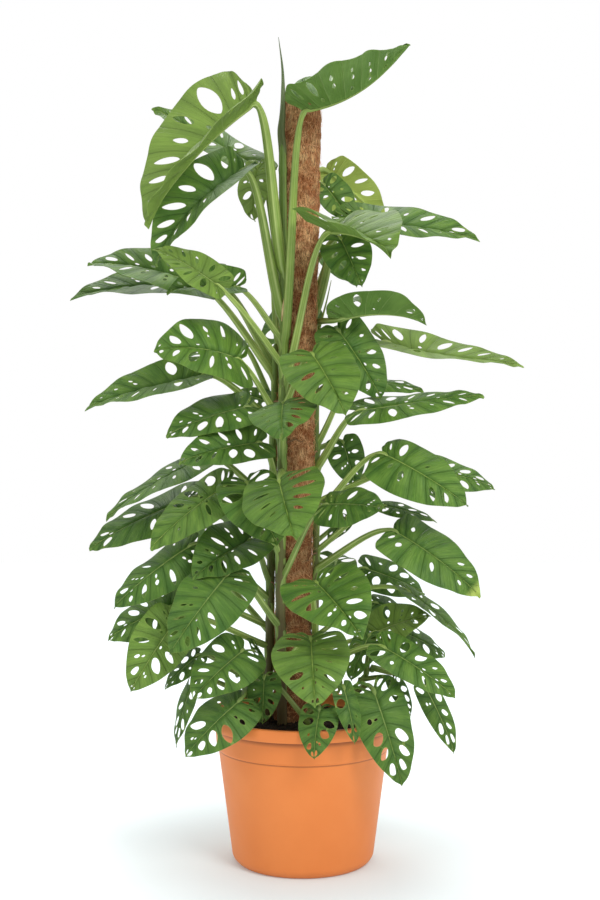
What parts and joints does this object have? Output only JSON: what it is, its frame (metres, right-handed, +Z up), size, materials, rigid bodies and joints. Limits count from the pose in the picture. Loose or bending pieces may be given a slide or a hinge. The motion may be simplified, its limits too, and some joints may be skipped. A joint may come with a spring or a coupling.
{
  "type": "potted climbing monstera plant",
  "caption": "Climbing monstera with holed leaves on long petioles, tied up a coir-wrapped wooden stake, standing in a round plastic nursery pot filled with potting soil.",
  "frame": {"origin": "middle of the pot's underside, on the surface it stands on", "axes": "+Z up along the pole; +X to the viewer's right in the picture; +Y away from the viewer"},
  "size_m": [0.7642, 0.4756, 1.3661],
  "materials": {
    "pot_plastic": "satin",
    "potting_soil": "rough, dull",
    "coir": "fibrous, dull",
    "stake_wood": "sawn, dull",
    "stem_tissue": "semi-matte",
    "leaf_tissue": "glossy"
  },
  "bodies": {
    "root": {"pot": "pot_plastic", "soil": "potting_soil", "coir_sleeve": "coir", "stake": "stake_wood", "stem_front_left": "stem_tissue", "stem_right": "stem_tissue", "stem_left": "stem_tissue", "stem_back_right": "stem_tissue", "stem_back_left": "stem_tissue", "shoot_right": "leaf_tissue", "shoot_front": "leaf_tissue", "shoot_left": "leaf_tissue", "shoot_back": "leaf_tissue", "leaf_01": "leaf_tissue", "leaf_02": "leaf_tissue", "leaf_03": "leaf_tissue", "leaf_04": "leaf_tissue", "leaf_05": "leaf_tissue", "leaf_06": "leaf_tissue", "leaf_07": "leaf_tissue", "leaf_08": "leaf_tissue", "leaf_09": "leaf_tissue", "leaf_10": "leaf_tissue", "leaf_11": "leaf_tissue", "leaf_12": "leaf_tissue", "leaf_13": "leaf_tissue", "leaf_14": "leaf_tissue", "leaf_15": "leaf_tissue", "leaf_16": "leaf_tissue", "leaf_17": "leaf_tissue", "leaf_18": "leaf_tissue", "leaf_19": "leaf_tissue", "leaf_20": "leaf_tissue", "leaf_21": "leaf_tissue", "leaf_22": "leaf_tissue", "leaf_23": "leaf_tissue", "leaf_24": "leaf_tissue", "leaf_25": "leaf_tissue", "leaf_26": "leaf_tissue", "leaf_27": "leaf_tissue", "leaf_28": "leaf_tissue", "leaf_29": "leaf_tissue", "leaf_30": "leaf_tissue", "leaf_31": "leaf_tissue", "leaf_32": "leaf_tissue", "leaf_33": "leaf_tissue", "leaf_34": "leaf_tissue", "leaf_35": "leaf_tissue", "leaf_36": "leaf_tissue", "leaf_37": "leaf_tissue", "leaf_38": "leaf_tissue", "leaf_39": "leaf_tissue", "leaf_40": "leaf_tissue", "leaf_41": "leaf_tissue", "leaf_42": "leaf_tissue", "leaf_43": "leaf_tissue", "leaf_44": "leaf_tissue"}
  },
  "joints": []
}
